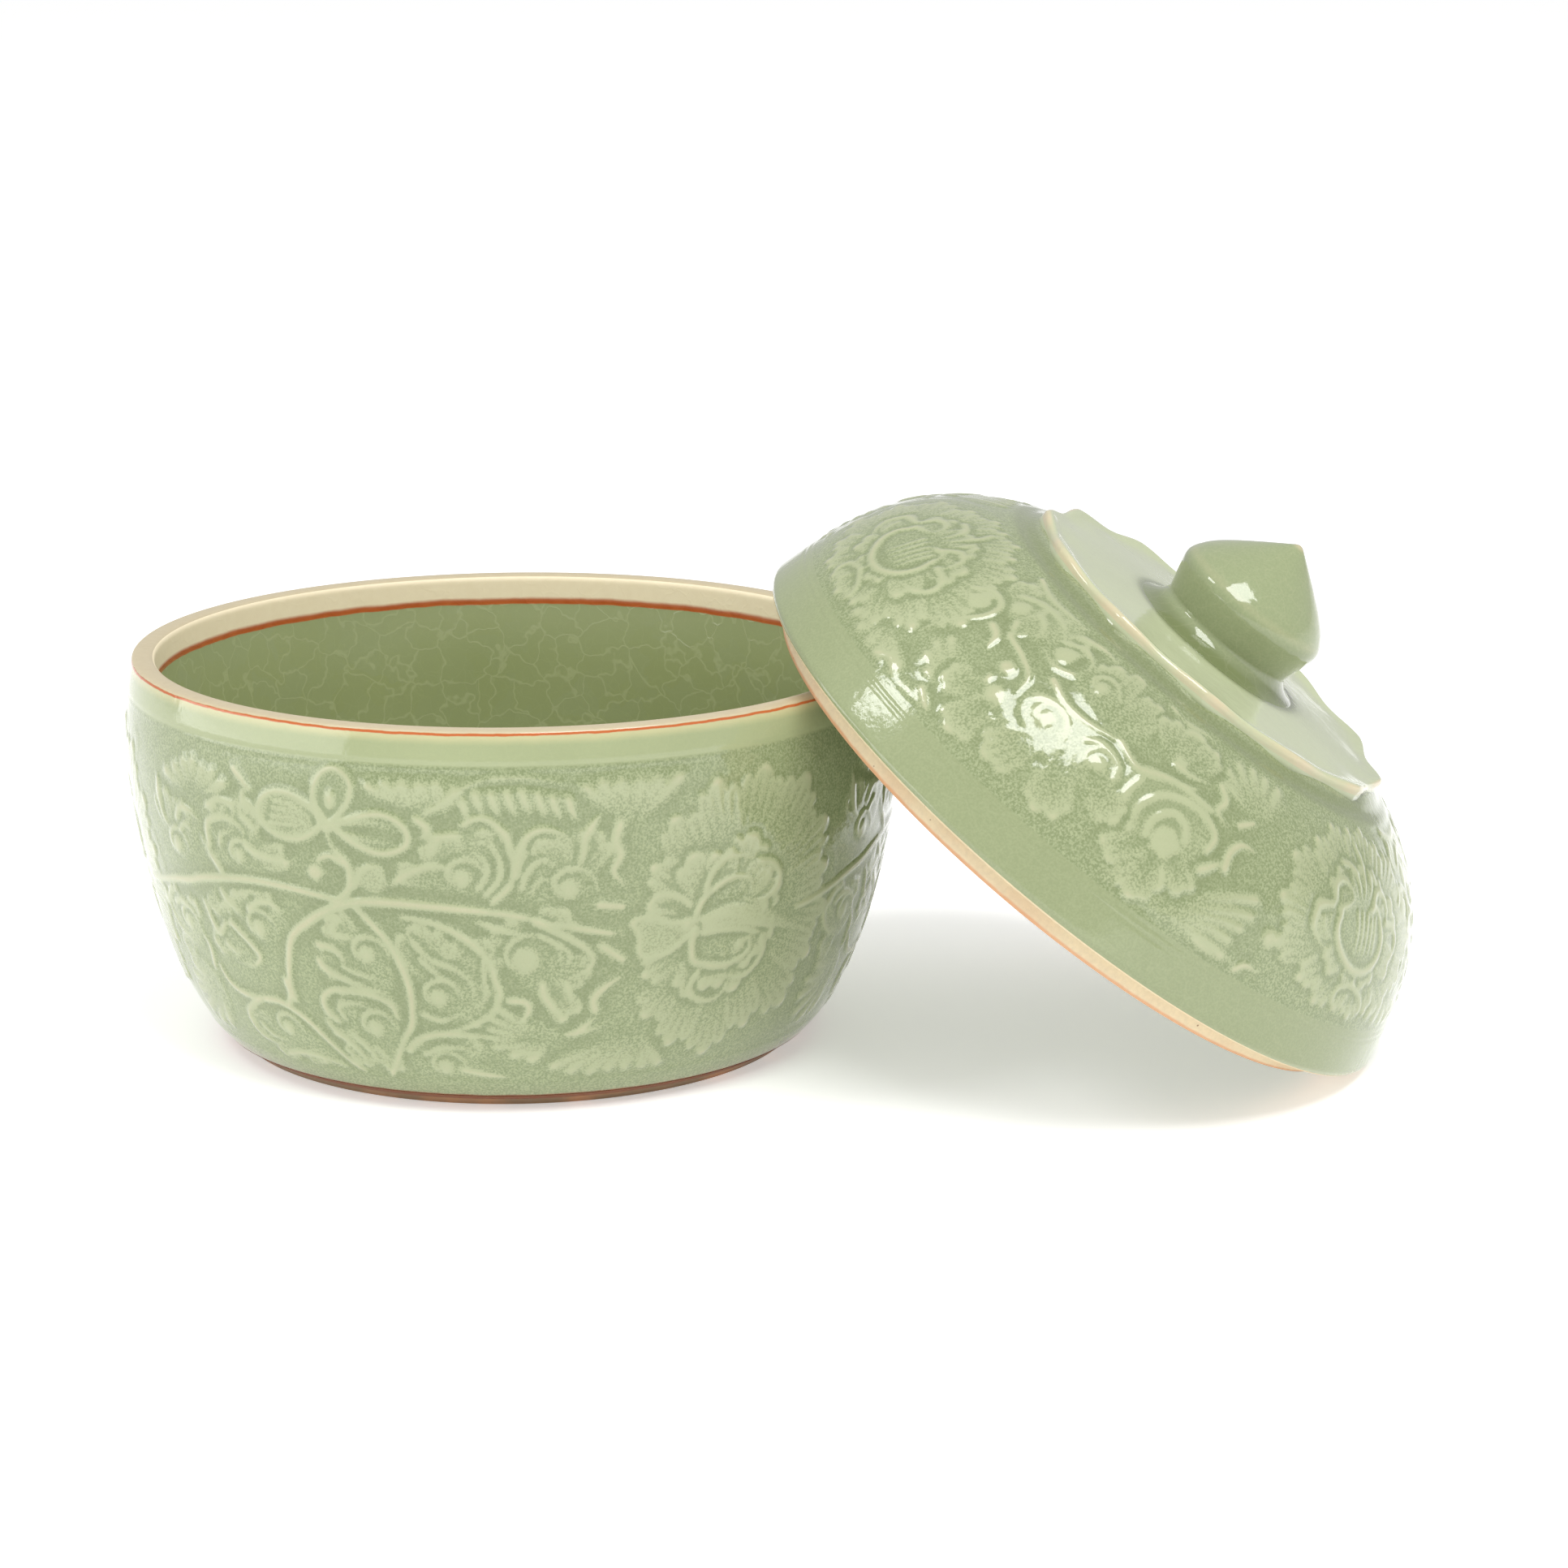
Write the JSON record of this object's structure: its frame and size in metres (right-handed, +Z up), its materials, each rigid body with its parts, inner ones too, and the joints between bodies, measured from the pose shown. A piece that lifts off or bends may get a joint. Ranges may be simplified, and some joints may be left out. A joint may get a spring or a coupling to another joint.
{
  "type": "lidded rice bowl",
  "caption": "Round carved celadon stoneware serving bowl with a domed lid and lotus-bud knob, shown with the lid leaning on the bowl's rim.",
  "frame": {"origin": "middle of the whole footprint, bowl and leaning lid together, on the table plane", "axes": "+Z up, +X from the bowl towards the leaning lid, +Y towards the back"},
  "size_m": [0.298, 0.1946, 0.127],
  "materials": {
    "celadon_glaze": "glossy pale grey-green celadon glaze over carved relief, darker and speckled where it pools, crackled inside",
    "celadon_glaze_knob": "glossy plain celadon glaze, darker in the groove under the bud",
    "bare_stoneware": "unglazed matt beige stoneware with a thin orange flashing line where the glaze stops"
  },
  "bodies": {
    "bowl": {"bowl_body": "celadon_glaze", "bowl_foot_ring": "bare_stoneware"},
    "lid": {"lid_dome": "celadon_glaze", "lid_seat_flange": "bare_stoneware", "lid_petal_collar": "celadon_glaze", "lid_knob": "celadon_glaze_knob"}
  },
  "joints": [
    {"name": "lid_lift", "type": "slide", "parent": "bowl", "child": "lid", "axis": [0, 0, 1], "range_m": [0, 0.15]}
  ]
}
